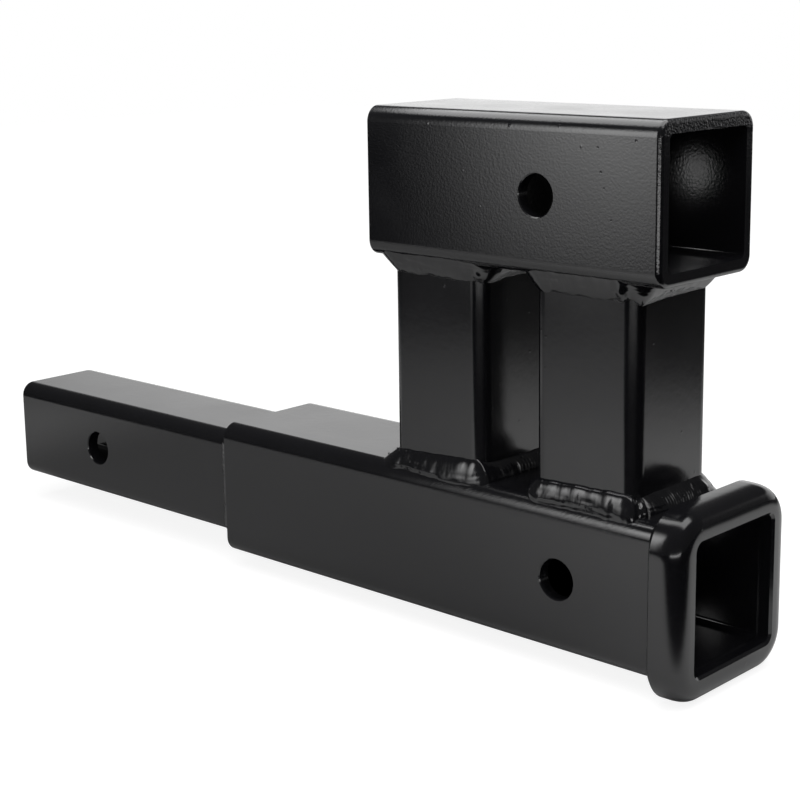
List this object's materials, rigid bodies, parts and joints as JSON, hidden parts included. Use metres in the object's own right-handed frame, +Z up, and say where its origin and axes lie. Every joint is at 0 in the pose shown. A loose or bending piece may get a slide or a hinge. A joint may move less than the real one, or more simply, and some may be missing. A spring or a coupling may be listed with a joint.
{
  "type": "hitch receiver extender",
  "caption": "Welded square-tube hitch extender: a pinned shank, a collared lower socket and a raised upper socket on uprights.",
  "frame": {"origin": "on the axis of the shank's pin hole, in the middle of the shank", "axes": "+X from the vehicle to the open mouths of the sockets, +Y across along the pin holes, +Z up"},
  "size_m": [0.4406, 0.078, 0.2256],
  "materials": {
    "black_powder_coat": "semi-gloss black powder coat on steel tube, with slight orange peel",
    "weld_bead": "steel weld bead under the same black powder coat"
  },
  "bodies": {
    "root": {"shank_tube": "black_powder_coat", "receiver_tube": "black_powder_coat", "mouth_collar": "black_powder_coat", "rear_upright": "black_powder_coat", "front_upright": "black_powder_coat", "upper_tube": "black_powder_coat", "shank_weld": "weld_bead", "collar_weld": "weld_bead", "rear_upright_lower_weld": "weld_bead", "front_upright_lower_weld": "weld_bead", "rear_upright_upper_weld": "weld_bead", "front_upright_upper_weld": "weld_bead"}
  },
  "joints": []
}
